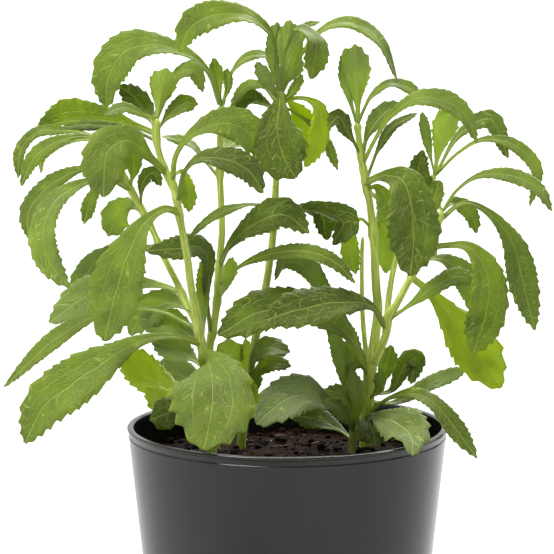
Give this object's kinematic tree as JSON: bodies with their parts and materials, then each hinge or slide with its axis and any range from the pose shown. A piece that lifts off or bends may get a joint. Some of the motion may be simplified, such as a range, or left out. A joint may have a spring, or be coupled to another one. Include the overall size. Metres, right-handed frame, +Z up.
{
  "type": "potted stevia plant",
  "caption": "Bushy stevia herb with long arching toothed leaves on upright stems, rooted in dark soil in a plain round tapered dark pot.",
  "frame": {"origin": "centre of the pot's flat underside", "axes": "+Z up along the pot's axis, -Y towards the viewer of the picture, +X to the viewer's right"},
  "size_m": [0.2227, 0.13, 0.2914],
  "materials": {
    "leaf": "soft mid green leaf, slightly silky upper side, paler underside, translucent against the light",
    "stem": "juicy yellow-green stem with fine pale hairs",
    "soil": "dark brown crumbly potting soil",
    "pot": "satin dark charcoal outside, glossy black inside, thin rounded rim"
  },
  "bodies": {
    "root": {"pot": "pot", "soil": "soil", "stem_left_front": "stem", "stem_left_back": "stem", "stem_left_upright": "stem", "stem_centre": "stem", "stem_right": "stem", "stem_right_back": "stem", "stem_right_outer": "stem", "stem_right_middle": "stem", "stem_low_shoot": "stem", "leaf_crown_arch": "leaf", "leaf_crown_front": "leaf", "leaf_crown_back": "leaf", "leaf_crown_right": "leaf", "leaf_crown_hanging": "leaf", "leaf_crown_bright": "leaf", "leaf_upright_arch": "leaf", "leaf_upright_right": "leaf", "leaf_front_erect": "leaf", "leaf_left_level": "leaf", "leaf_left_droop": "leaf", "leaf_far_left_back": "leaf", "leaf_far_left_front": "leaf", "leaf_left_long": "leaf", "leaf_left_behind": "leaf", "leaf_front_big": "leaf", "leaf_over_arch": "leaf", "leaf_dark_arch": "leaf", "leaf_star": "leaf", "leaf_centre_folded": "leaf", "leaf_centre_long": "leaf", "leaf_underside": "leaf", "leaf_left_inner": "leaf", "leaf_middle_front": "leaf", "leaf_middle_long": "leaf", "leaf_middle_upright": "leaf", "leaf_right_erect": "leaf", "leaf_right_arch": "leaf", "leaf_outer_bright": "leaf", "leaf_outer_narrow": "leaf", "leaf_outer_level": "leaf", "leaf_right_hanging": "leaf", "leaf_outer_big": "leaf", "leaf_outer_front": "leaf", "leaf_outer_pale": "leaf", "leaf_low_left_front": "leaf", "leaf_low_left_wing": "leaf", "leaf_low_left_bright": "leaf", "leaf_low_left_large": "leaf", "leaf_low_left_narrow": "leaf", "leaf_low_left_pale": "leaf", "leaf_low_left_grey": "leaf", "leaf_low_round": "leaf", "leaf_low_centre_dark": "leaf", "leaf_pot_silver": "leaf", "leaf_pot_shaded": "leaf", "leaf_pot_right_long": "leaf", "leaf_pot_right_pale": "leaf", "leaf_pot_right_curly": "leaf"}
  },
  "joints": []
}
